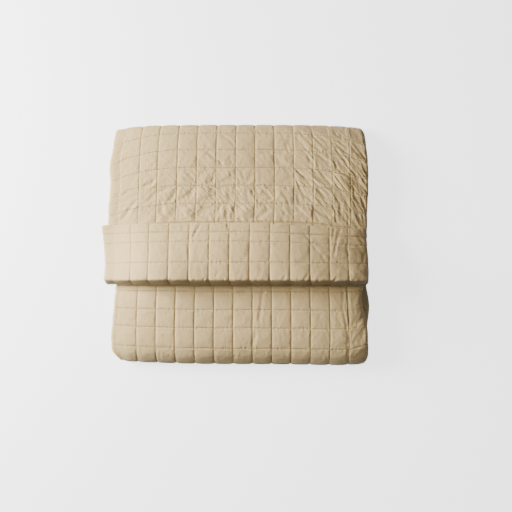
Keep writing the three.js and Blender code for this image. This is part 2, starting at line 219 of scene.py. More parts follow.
LEFT_PULL = dict(start=150, reach=185, move=24)
RIGHT_PULL = dict(start=95, reach=215, move=21)
PULL_REACH_Y = 60
CUFF_SLANT = dict(start=-40, reach=400, move=-12)
FRONT_SLANT = dict(start=262, reach=66, move=9)
FRONT_SLANT_RATE = 2.5


def pulled_out(row, out):
    return row["move"] * np.clip((out - row["start"]) / row["reach"], 0, None) ** 2


# The rows of quilting slide along the strip: the flap is pulled forward at its sides, the cuff's hem slants
def slide(leg, share, x):
    y, _ = way_point(leg, share)
    pull = pulled_out(LEFT_PULL, -x) + pulled_out(RIGHT_PULL, x)
    if leg == 3:
        return -pull * ease(2 * share - 1)[:, None]
    if leg == 4:
        return -pull * ease(y / PULL_REACH_Y)[:, None]
    if leg == 6:
        return eased_out(CUFF_SLANT, x) * ease(share)[:, None]
    if leg == 0:
        return eased_out(FRONT_SLANT, x) * ease(share * FRONT_SLANT_RATE)[:, None]
    return 0 * x


# The soft packet's own shape: corners drawn in, sides and ends lower, long waves
def settle(x, y, z):
    drawn = np.zeros_like(x)
    out = np.abs(x) / HALF_WIDTH
    for row in EDGES:
        here = (np.sign(x) == row["side"]) & (np.sign(y) == row["end"])
        pull = row["corner"] * np.minimum(CORNER_MOST, out ** CORNER_SHARP) + row["bow"] * out ** 2
        drawn = np.where(here, row["end"] * pull * ease(np.abs(y) / BACK_Y), drawn)
    height = np.ones_like(x)
    for row in SLUMPS:
        height = height * (1 - row["share"] * hump(row, x, y))
    height = np.hypot(height, LEAST_HEIGHT) / math.hypot(1, LEAST_HEIGHT)
    for row in WAVES:
        wave = 2 * math.pi * (x / row["length_x"] + y / row["length_y"]) + row["turn"]
        height = height + row["share"] * np.sin(wave)
    pressed = eased_out(CORNER, -x) * bell((y - CORNER["y"]) / CORNER["reach_y"])
    return x + pressed, y - drawn, z * height


def hem_distance(leg, y):
    if leg == 0:
        return FLAP_HEM_Y - y
    if leg == 6:
        return CUFF_HEM_Y - y
    return np.full_like(y, HEM_REACH)


# The cuff's roll is pressed to a sharp edge at its top and falls steeply from there
PRESS_TURN = math.radians(27.5)
PRESS_LEAN = 0.22
PRESS_SHARP = 16
PRESS_MOST = 1.2
PRESS_END = 1.7
PRESS_FADE = 0.4
TINY = 1e-3


def press_roll(y, z):
    middle_z = HIGH_Z + CUFF_LIFT + ROLL
    down, up = CUFF_Y - y, z - middle_z
    turn = np.arctan2(down, up)
    upright = np.cos(turn)
    top = 1 / np.maximum(upright, TINY)
    face = (math.tan(PRESS_TURN) + PRESS_LEAN) / np.maximum(np.sin(turn) + PRESS_LEAN * upright, TINY)
    near = np.where(upright > TINY, top, 1 / TINY)
    pressed = (near ** -PRESS_SHARP + face ** -PRESS_SHARP) ** (-1 / PRESS_SHARP)
    scale = mix(np.minimum(pressed, PRESS_MOST), 1, ease((np.abs(turn) - PRESS_END) / PRESS_FADE))
    return CUFF_Y - down * scale, middle_z + up * scale


# A side's own bulge or draw on its leg; on a roll it grows towards the flap above
def side_move(leg, share, x, y):
    grown = {1: 1 - ease(share), 3: ease(share), 5: ease(share)}.get(leg, 1)
    move = np.zeros_like(x)
    for row in SIDE_MOVES:
        if leg in row["legs"]:
            near = bell((y - row["y"]) / row["reach_y"]) * grown
            move = move + eased_out(row, row["side"] * x) * near[:, None]
    return move


# From the back roll on, the left edge is tucked in
TUCK = dict(x=-318, reach_x=50, start=-329, reach=10, leg=3.2, move=12.5)


# Points of one face of the cloth over a grid: shares across the part, shares along the leg
def cloth(part, across, leg, along, face, relief=0.0, pulled=1.0):
    x, rise, out_x, out_rise = ply_point(part, across)
    y, z, normal_y, normal_z = way_frame(leg, along)
    from_hem = hem_distance(leg, y)
    rounded = np.sqrt(1 - (1 - np.clip(from_hem / HEM_ROUND, 0, 1)) ** 2)
    off = (face * PLY / 2 + relief) * rounded[:, None]
    thin = mix(HEM_THIN, 1, ease(from_hem / HEM_REACH))
    lift = (rise[None, :] + off * out_rise[None, :]) * thin[:, None]
    shift, spread, slip = zone_at(leg + along)
    gx = x[None, :] + off * out_x[None, :]
    tucked = TUCK["move"] * bell((gx - TUCK["x"]) / TUCK["reach_x"])
    tucked = tucked * ease((gx - TUCK["start"]) / TUCK["reach"])
    tucked = tucked * ease(2 * np.clip(leg + along - TUCK["leg"], 0, 1))[:, None]
    tucked = tucked + side_move(leg, along, gx, y)
    gx = shift + spread * gx + slip * np.clip(1 - (gx / HALF_WIDTH) ** SLIDE_SHARP, 0, 1) + tucked
    gy = y[:, None] + normal_y[:, None] * lift
    gz = z[:, None] + normal_z[:, None] * lift
    if leg == 5:
        gy, gz = press_roll(gy, gz)
    gy = gy + pulled * slide(leg, along, gx)
    return np.stack(settle(gx, gy, gz), axis=-1)


# Rows of stitches, as places along the flat legs and as shares of the rolls
ROWS = [
    dict(leg=0, y=[-126.9, -171.6, -216.9, -268.0], share=[]),
    dict(leg=1, y=[], share=[0.41]),
    dict(leg=2, y=[], share=[k / 11 for k in range(12)]),
    dict(leg=3, y=[], share=[0.48]),
    dict(leg=4, y=[294.0, 245.0, 196.1, 148.8, 101.4, 54.0], share=[]),
    dict(leg=5, y=[], share=[0.32, 0.845]),
    dict(leg=6, y=[-56.7, -4.0, 20.8], share=[]),
]
LEG_ENDS = {
    0: (FLAP_HEM_Y, FRONT_Y),
    2: (FRONT_Y, BACK_Y),
    4: (BACK_Y, CUFF_Y),
    6: (CUFF_Y, CUFF_HEM_Y),
}
FINE = 2.8
LEAST_CELL = 0.8
SEAM_CLOSER = 0.55
HIDDEN_Y = [20.0, -8.0, -30.0, -50.0, -68.0]
ROLL_CELLS = 10
BOTTOM_CELLS = 5
HEM_MARKS = [1.0, 3.0]
FOLD_CELLS = {1: 7, 3: 14, 5: 7}
OPEN_UNDER_CUFF = 6.0


def leg_share(leg, y):
    start, end = LEG_ENDS[leg]
    return (np.asarray(y, float) - start) / (end - start)


def leg_length(leg):
    if leg in LEG_ENDS:
        return abs(LEG_ENDS[leg][1] - LEG_ENDS[leg][0])
    return math.pi * OUTER


def seam_shares(leg):
    row = ROWS[leg]
    return sorted(list(row["share"]) + [float(leg_share(leg, y)) for y in row["y"]])


# Cells along a leg, cut at the seams; a roll has more of them so that its hidden faces still bend
def row_marks(leg):
    marks = {0.0, 1.0, *seam_shares(leg)}
    if leg in (1, 3, 5):
        marks |= {k / ROLL_CELLS for k in range(ROLL_CELLS)}
    if leg == 4:
        marks |= {float(leg_share(leg, y)) for y in HIDDEN_Y}
    if leg == 0:
        marks |= {gap / leg_length(0) for gap in HEM_MARKS}
    if leg == 6:
        marks |= {1 - gap / leg_length(6) for gap in HEM_MARKS}
    marks = sorted(marks)
    return [marks[0]] + [b for a, b in zip(marks, marks[1:]) if (b - a) * leg_length(leg) > LEAST_CELL]


# Steps from 0 to 1 that lie closer together near the stitches at both ends
def closer(count):
    steps = np.linspace(0, 1, count + 1)
    return steps - SEAM_CLOSER * np.sin(2 * math.pi * steps) / (2 * math.pi)


# Fine or coarse cells of one leg: lists of shares, both ends included
def row_cells(leg):
    marks = row_marks(leg)
    for start, end in zip(marks, marks[1:]):
        step = SQUARE / BOTTOM_CELLS if leg == 2 else FINE
        count = max(1, round((end - start) * leg_length(leg) / step))
        steps = closer(count) if leg in (0, 4, 6) else np.linspace(0, 1, count + 1)
        yield start, end, mix(start, end, steps)


def column_cells(part):
    if part in FOLD_CELLS:
        return [(0.0, 1.0, np.linspace(0, 1, FOLD_CELLS[part] + 1))]
    start, end = {0: (HEM_X, LEFT_X), 2: (LEFT_X, RIGHT_X), 4: (RIGHT_X, LEFT_X), 6: (LEFT_X, HEM_X)}[part]
    marks = sorted([0.0, 1.0] + [(x - start) / (end - start) for x in SEAMS_X])
    cells = []
    for low, high in zip(marks, marks[1:]):
        count = max(2, round((high - low) * abs(end - start) / FINE))
        cells.append((low, high, mix(low, high, closer(count))))
    return cells


# How each patch of the face is meshed: fine where it shows, medium underneath, one cell per square inside
def fineness(part, leg, start):
    if part in FOLD_CELLS:
        return "fine"
    if part == 2 and leg in (0, 1, 3):
        return "fine"
    if part == 2 and leg == 4 and mix(*LEG_ENDS[4], start) > OPEN_UNDER_CUFF:
        return "fine"
    if part == 4 and leg in (5, 6):
        return "fine"
    return "medium" if part == 2 and leg == 2 else "coarse"


# Place inside a quilted square, 0 to 1, across the strip and along it
def square_across(part, share):
    first, last = SEAMS_X[0], SEAMS_X[-1]
    far = RIGHT_X - last + math.pi / 2 * (RIGHT_FOLD + PLY / 2)
    if part == 3:
        turn = np.minimum(share, 1 - share) * math.pi * (RIGHT_FOLD + PLY / 2)
        return (RIGHT_X - last + turn) / far
    if part in (1, 5):
        turn = (1 - share if part == 1 else share) * math.pi * (LEFT_FOLD + PLY / 2)
        return (first - LEFT_X + turn) / SQUARE
    x = ply_point(part, share)[0]
    inside = np.where(x < first, (first - x) / SQUARE, ((x - SEAM_X) / SQUARE) % 1)
    return np.where(x > last, np.maximum(0, x - last) / far, inside)


LEG_START = np.concatenate([[0], np.cumsum([leg_length(leg) for leg in range(7)])])
PART_LENGTH = [HEM_X - LEFT_X, math.pi * LEFT_FOLD, RIGHT_X - LEFT_X, math.pi * RIGHT_FOLD,
               RIGHT_X - LEFT_X, math.pi * LEFT_FOLD, HEM_X - LEFT_X]
PART_START = np.concatenate([[0], np.cumsum(PART_LENGTH)])
SEAM_PLACES = np.array([0.0] + [LEG_START[leg] + share * leg_length(leg) for leg in range(7)
                                for share in seam_shares(leg)] + [LEG_START[7]])


def square_along(leg, share):
    place = LEG_START[leg] + share * leg_length(leg)
    index = np.clip(np.searchsorted(SEAM_PLACES, place, side="right") - 1, 0, len(SEAM_PLACES) - 2)
    gap = np.maximum(NO_LENGTH, SEAM_PLACES[index + 1] - SEAM_PLACES[index])
    return np.clip((place - SEAM_PLACES[index]) / gap, 0, 1)


SWELL_HEM_GAP = 8
SWELL_HEM_REACH = 16
SWELL_FRONT_LAST = 0.95
SWELL_BACK_FIRST = 0.05
SWELL_ROLL_REACH = 0.3
SWELL_FLAP_Y = 22
SWELL_FLAP_REACH = 24
SWELL_CUFF_FIRST = 0.15
SWELL_CUFF_REACH = 0.25


# Share of the padding that can swell: none where the cloth lies on cloth or on the surface below
def swelling(part, across, leg, along):
    y, _ = way_point(leg, along)
    lower = upper = 0 * along
    if leg == 0:
        lower = ease((FLAP_HEM_Y - SWELL_HEM_GAP - y) / SWELL_HEM_REACH)
    elif leg == 1:
        lower = ease((SWELL_FRONT_LAST - along) / SWELL_ROLL_REACH)
    elif leg == 3:
        lower = ease((along - SWELL_BACK_FIRST) / SWELL_ROLL_REACH)
    elif leg == 4:
        lower = ease((y - SWELL_FLAP_Y) / SWELL_FLAP_REACH)
    elif leg == 5:
        upper = ease((along - SWELL_CUFF_FIRST) / SWELL_CUFF_REACH)
    elif leg == 6:
        upper = np.ones_like(along)
    if part == 2:
        return lower[:, None] * np.ones_like(across)
    if part == 4:
        return upper[:, None] * np.ones_like(across)
    if part == 3:
        return lower[:, None] * ease(1 - across) + upper[:, None] * ease(across)
    if part == 1:
        return lower[:, None] * ease(across)
    if part == 5:
        return upper[:, None] * ease(1 - across)
    return np.zeros((len(along), len(across)))


PUFF = 0.8
COLUMN_SINK = 0.95
ROW_SINK = 1.0
GROOVE = 1.45
SOFT_SINK = 0.4
SOFT_GROOVE = 5.0
REST_PULL = 0.75
HEM_STRIP = {0: 28.4, 6: 26.2}
HEM_RAISE = 2.0
EDGE_PUFF = 1.8
EDGE_SHARE = 0.845
ROLL_PUFF = 1.5
HEM_STEP = 1.8
EDGE_REACH = 9
FIRST_COLUMN = [0.12, 0.12, 0.9, 0.9, 0.9, 0.5, 0.5]
FADE_X = -320
FADE_REACH = 50
FADE_GAP = 2


# The first column of stitches is fainter, leg by leg, where the left edge rounds off
def strength(part, across, leg):
    return mix(FIRST_COLUMN[leg], 1, ease((ply_point(part, across)[0] - FADE_X) / FADE_REACH))


# Relief of the quilting before the cloth settles: flat squares with grooves along the stitches
def quilting(part, across, leg, along):
    u = square_across(part, across)[None, :]
    v = square_along(leg, along)[:, None]
    full = np.clip(16 * u * (1 - u) * v * (1 - v), 0, 1) ** 0.5
    column_gap, row_gap = np.minimum(u, 1 - u) * SQUARE, np.minimum(v, 1 - v) * SQUARE
    columns = COLUMN_SINK * bell(column_gap / GROOVE) + SOFT_SINK * bell(column_gap / SOFT_GROOVE)
    rows = ROW_SINK * bell(row_gap / GROOVE)
    sunk = np.maximum(columns * strength(part, across, leg)[None, :], rows)
    strip = 0.0
    if leg in HEM_STRIP:
        from_hem = hem_distance(leg, way_point(leg, along)[0])
        strip = (HEM_RAISE * ease((HEM_STRIP[leg] - from_hem) / HEM_STEP))[:, None]
    if part in FOLD_CELLS:
        strip = strip + ROLL_PUFF * arch(v) * np.sin(math.pi * across)[None, :]
    if leg in (1, 3):
        strip = strip + ROLL_PUFF * arch(u) * np.sin(math.pi * along)[:, None]
    if leg in (5, 6):
        before = -EDGE_SHARE if leg == 5 else 1 - EDGE_SHARE
        from_edge = along * leg_length(leg) + before * leg_length(5)
        strip = strip + EDGE_PUFF * arch(u) * bell(from_edge / EDGE_REACH)[:, None]
    return (PUFF * full + strip - sunk) * swelling(part, across, leg, along)


def seam_gaps(part, across, leg, along):
    u = square_across(part, across)[None, :] + 0 * along[:, None]
    v = square_along(leg, along)[:, None] + 0 * across[None, :]
    column_gap = np.minimum(u, 1 - u) * SQUARE + FADE_GAP * (1 - strength(part, across, leg))[None, :]
    return column_gap, np.minimum(v, 1 - v) * SQUARE


CUFF_SHADE = dict(last=0.83, fade_out=0.03, first=0.25, fade_in=0.15)
END_SHADE = dict(x=270, reach_x=40, y=-140, reach_y=45)


# Painted shade in the deep folds: the colour darkens under the cuff's edge and in the open right end of the
# front
def fold_shade(part, across, leg, along):
    x = ply_point(part, across)[0][None, :]
    y = way_point(leg, along)[0][:, None]
    if leg == 5:
        shade = ease((CUFF_SHADE["last"] - along) / CUFF_SHADE["fade_out"])
        shade = shade * ease((along - CUFF_SHADE["first"]) / CUFF_SHADE["fade_in"])
        return shade[:, None] + 0 * x
    if leg == 2 and part in (3, 4):
        near = bell((y - END_SHADE["y"]) / END_SHADE["reach_y"])
        return ease((x - END_SHADE["x"]) / END_SHADE["reach_x"]) * near
    return 0 * x + 0 * y


# A place in the cloth as a whole number, so that patches find each other's points
PLACE_STEPS = 1e5


def place_number(value):
    return round(value * PLACE_STEPS)


HEM_PLACES = (0, place_number(7))


class Sheet:
    """The sheet's points by their place in the cloth, shared along its hems by both faces."""

    def __init__(self):
        self.points = []
        self.rest = []
        self.outward = []
        self.places = []
        self.flat = []
        self.gaps = []
        self.lines = {}
        self.known = {}
        self.faces = []

    def add(self, part, across, leg, along, face):
        relief = quilting(part, across, leg, along) if face > 0 else 0.0
        grid = cloth(part, across, leg, along, face, relief)
        rest = cloth(part, across, leg, along, face, relief, REST_PULL)
        outward = (cloth(part, across, leg, along, face, relief + 1.0) - grid) * face
        column_gap, row_gap = seam_gaps(part, across, leg, along)
        swell = swelling(part, across, leg, along)
        shade = fold_shade(part, across, leg, along)
        index = np.empty(grid.shape[:2], int)
        for j, v in enumerate(along):
            for i, u in enumerate(across):
                place = (place_number(part + u), place_number(leg + v))
                hem = place[0] in HEM_PLACES or place[1] in HEM_PLACES
                key = place + (0 if hem else face,)
                if key not in self.known:
                    number = self.known[key] = len(self.points)
                    self.points.append(grid[j, i])
                    self.rest.append(rest[j, i])
                    self.outward.append(outward[j, i])
                    flat_x = PART_START[part] + u * PART_LENGTH[part]
                    self.flat.append((flat_x, LEG_START[leg] + v * leg_length(leg)))
                    self.gaps.append((column_gap[j, i], row_gap[j, i], swell[j, i], shade[j, i]))
                    self.places.append((part + u, leg + v, face))
                    for side in ((1, -1) if hem else (face,)):
                        self.lines.setdefault(("along", place[1], side), []).append((place[0], number))
                        self.lines.setdefault(("across", place[0], side), []).append((place[1], number))
                index[j, i] = self.known[key]
        return index

    def edge(self, name, line, start, end, face):
        low, high = sorted((start, end))
        found = sorted(p for p in self.lines[(name, line, face)] if low <= p[0] <= high)
        run = [point for _, point in found]
        return run if start < end else run[::-1]

    def fill(self, u0, u1, v0, v1, face):
        u0, u1, v0, v1 = (place_number(value) for value in (u0, u1, v0, v1))
        ring = self.edge("along", v0, u0, u1, face)[:-1] + self.edge("across", u1, v0, v1, face)[:-1]
        ring += self.edge("along", v1, u1, u0, face)[:-1] + self.edge("across", u0, v1, v0, face)[:-1]
        self.faces.append(ring[::-1] if face > 0 else ring)


def build_sheet():
    sheet = Sheet()
    quads, fills = [], []
    for part in range(7):
        for leg in range(7):
            for v0, v1, rows in row_cells(leg):
                for u0, u1, columns in column_cells(part):
                    kind = fineness(part, leg, v0)
                    if kind == "coarse":
                        sheet.add(part, np.array([u0, u1]), leg, np.array([v0, v1]), 1)
                        fills.append((part + u0, part + u1, leg + v0, leg + v1, 1))
                    elif kind == "medium":
                        picked = np.linspace(0, len(columns) - 1, BOTTOM_CELLS + 1).round().astype(int)
                        steps = columns[np.unique(picked)]
                        sheet.add(part, steps, leg, rows, 1)
                        for a, b in zip(steps, steps[1:]):
                            for c, d in zip(rows, rows[1:]):
                                fills.append((part + a, part + b, leg + c, leg + d, 1))
                    else:
                        quads.append(sheet.add(part, columns, leg, rows, 1))
                    sheet.add(part, np.array([u0, u1]), leg, np.array([v0, v1]), -1)
                    fills.append((part + u0, part + u1, leg + v0, leg + v1, -1))
    for index in quads:
        a, b, c, d = index[:-1, :-1], index[1:, :-1], index[1:, 1:], index[:-1, 1:]
        sheet.faces += np.stack([a, b, c, d], axis=-1).reshape(-1, 4).tolist()
    sheet.fine = len(sheet.faces)
    for row in fills:
        sheet.fill(*row)
    return sheet


WAVE_COUNT = 14
WAVE_RATES = (0.6, 1.5)


# Sums of sine waves in many directions: soft unevenness that is the same on every run
def uneven(x, y, length, seed):
    draw = np.random.default_rng(seed)
    total = np.zeros_like(x)
    for _ in range(WAVE_COUNT):
        turn = draw.uniform(0, 2 * math.pi)
        rate = 2 * math.pi / length * draw.uniform(*WAVE_RATES)
        total += np.sin(rate * (x * math.cos(turn) + y * math.sin(turn)) + draw.uniform(0, 2 * math.pi))
    return total / math.sqrt(WAVE_COUNT / 2)


# Where the cloth has room to wrinkle: middle and right of the flap, right ends of the cuff and the front
SLACK = [
    dict(first=0, last=2, x=-60, y=-200, reach_x=260, reach_y=120, share=0.1),
    dict(first=0, last=2, x=290, y=-200, reach_x=110, reach_y=160, share=0.3),
    dict(first=3, last=5, x=-60, y=110, reach_x=190, reach_y=110, share=0.9),
    dict(first=3, last=5, x=250, y=150, reach_x=160, reach_y=160, share=0.9),
    dict(first=5, last=7, x=40, y=-30, reach_x=220, reach_y=100, share=0.12),
    dict(first=5, last=7, x=300, y=-20, reach_x=90, reach_y=120, share=0.4),
]
CALM = 0.12
GATHER = 0.45
GATHER_LENGTH = 60.0
LEAST_SLACK = -0.006
MOST_SLACK = -0.035
SETTLE_FRAMES = 15
SETTLE_CAP = 6.0
SETTLE_SCALE = 0.01
PLACED_FRAME = 8
GATHER_SEEDS = (11, 12)
STILL_GATHER = 0.3
RUFFLE = 0.15
RUFFLE_LENGTH = 14
RUFFLE_SEED = 13
HELD_GAP = 0.4
HELD_SWELL = 0.02
SLACK_LEVELS = 20
FULL_SLACK = 0.7
SEAM_CALM = 0.35
SEAM_REACH = 9


def slack_at(points, along):
    slack = np.zeros(len(points))
    for row in SLACK:
        here = (along >= row["first"]) & (along <= row["last"])
        share = row["share"] * hump(row, points[:, 0], points[:, 1])
        slack = np.where(here, np.maximum(slack, share), slack)
    return slack


# Blender's cloth settles the padded face between its stitches
def settle_padding(sheet):
    placed = np.array(sheet.points)
    rest = np.array(sheet.rest)
    places = np.array(sheet.places)
    column_gap, row_gap, swell, _ = np.array(sheet.gaps).T
    slack = slack_at(placed, places[:, 1])
    flat = np.mod(np.floor(places[:, 1]), 2) == 0
    for axis, seed in enumerate(GATHER_SEEDS):
        stray = GATHER * uneven(placed[:, 0], placed[:, 1], GATHER_LENGTH, seed)
        stray = stray * swell * mix(STILL_GATHER, 1, slack)
        placed[:, axis] += np.where(flat | (axis == 0), stray, 0)
    quads = np.array(sheet.faces[:sheet.fine])
    leg = places[quads][:, :, 1].mean(axis=1)
    quads = quads[(leg < 2) | (leg > 3)]
    used, local = np.unique(quads, return_inverse=True)
    local = local.reshape(-1, 4)
    edges = np.sort(np.stack([local, np.roll(local, -1, axis=1)], axis=-1).reshape(-1, 2), axis=1)
    single, count = np.unique(edges, axis=0, return_counts=True)
    rim = np.zeros(len(used), bool)
    rim[single[count == 1].ravel()] = True
    held = rim | (column_gap[used] < HELD_GAP) | (row_gap[used] < HELD_GAP) | (swell[used] < HELD_SWELL)
    start = rest[used]
    ruffle = RUFFLE * uneven(start[:, 0], start[:, 1], RUFFLE_LENGTH, RUFFLE_SEED)
    start[:, 2] += ruffle * swell[used] * ~held

    body = bpy.data.meshes.new("padding")
    body.from_pydata((start * SETTLE_SCALE).tolist(), [], local.tolist())
    padding = bpy.data.objects.new("padding", body)
    bpy.context.collection.objects.link(padding)
    padding.shape_key_add(name="Basis")
    key = padding.shape_key_add(name="placed")
    key.data.foreach_set("co", (placed[used] * SETTLE_SCALE).astype(np.float32).ravel())
    for value, frame_number in ((0, 1), (1, PLACED_FRAME)):
        key.value = value
        key.keyframe_insert("value", frame=frame_number)
    stitched = padding.vertex_groups.new(name="stitched")
    stitched.add(np.nonzero(held)[0].tolist(), 1.0, "REPLACE")
    loose = padding.vertex_groups.new(name="loose")
    levels = np.round(slack[used] * SLACK_LEVELS).astype(int)
    for level in range(1, SLACK_LEVELS + 1):
        loose.add(np.nonzero(levels == level)[0].tolist(), level / SLACK_LEVELS, "REPLACE")
    cloth_modifier = padding.modifiers.new("cloth", "CLOTH")
    cloth_set = cloth_modifier.settings
    cloth_set.quality = 4
    cloth_set.mass = 0.01
    cloth_set.air_damping = 3
    cloth_set.tension_stiffness = cloth_set.compression_stiffness = 40
    cloth_set.shear_stiffness = 20
    cloth_set.bending_stiffness = 0.5
    cloth_set.vertex_group_mass = "stitched"
    cloth_set.vertex_group_shrink = "loose"
    cloth_set.shrink_min = LEAST_SLACK
    cloth_set.shrink_max = MOST_SLACK
    cloth_set.use_pressure = True
    cloth_set.uniform_pressure_force = 0.3
    cloth_set.effector_weights.gravity = 0
    cloth_modifier.collision_settings.use_collision = False
    cloth_modifier.point_cache.frame_start = 1
    cloth_modifier.point_cache.frame_end = SETTLE_FRAMES
    for number in range(1, SETTLE_FRAMES + 1):
        bpy.context.scene.frame_set(number)
    settled = padding.evaluated_get(bpy.context.evaluated_depsgraph_get())
    found = np.empty(3 * len(used), np.float32)
    settled.data.vertices.foreach_get("co", found)
    move = found.reshape(-1, 3) / SETTLE_SCALE - placed[used]
    reach = np.linalg.norm(move, axis=1, keepdims=True)
    seam = np.minimum(column_gap, row_gap)[used]
    share = mix(CALM, 1, np.clip(slack[used] / FULL_SLACK, 0, 1))
    share = share * mix(SEAM_CALM, 1, ease(seam / SEAM_REACH))
    placed[used] += move * np.minimum(1, SETTLE_CAP / np.maximum(reach, NO_LENGTH)) * share[:, None]
    bpy.context.scene.frame_set(1)
    bpy.data.objects.remove(padding)
    bpy.data.meshes.remove(body)
    return placed


# Where the camera stands, in metres, and its focal length in pixels of the photo's frame
FRAME = 512
SENSOR = 36
FOCUS = 489.03
CAMERA_TARGET = Vector((0.05086, -0.04115, 0.05))
CAMERA_RISE = math.radians(84)
CAMERA_REACH = 1.25
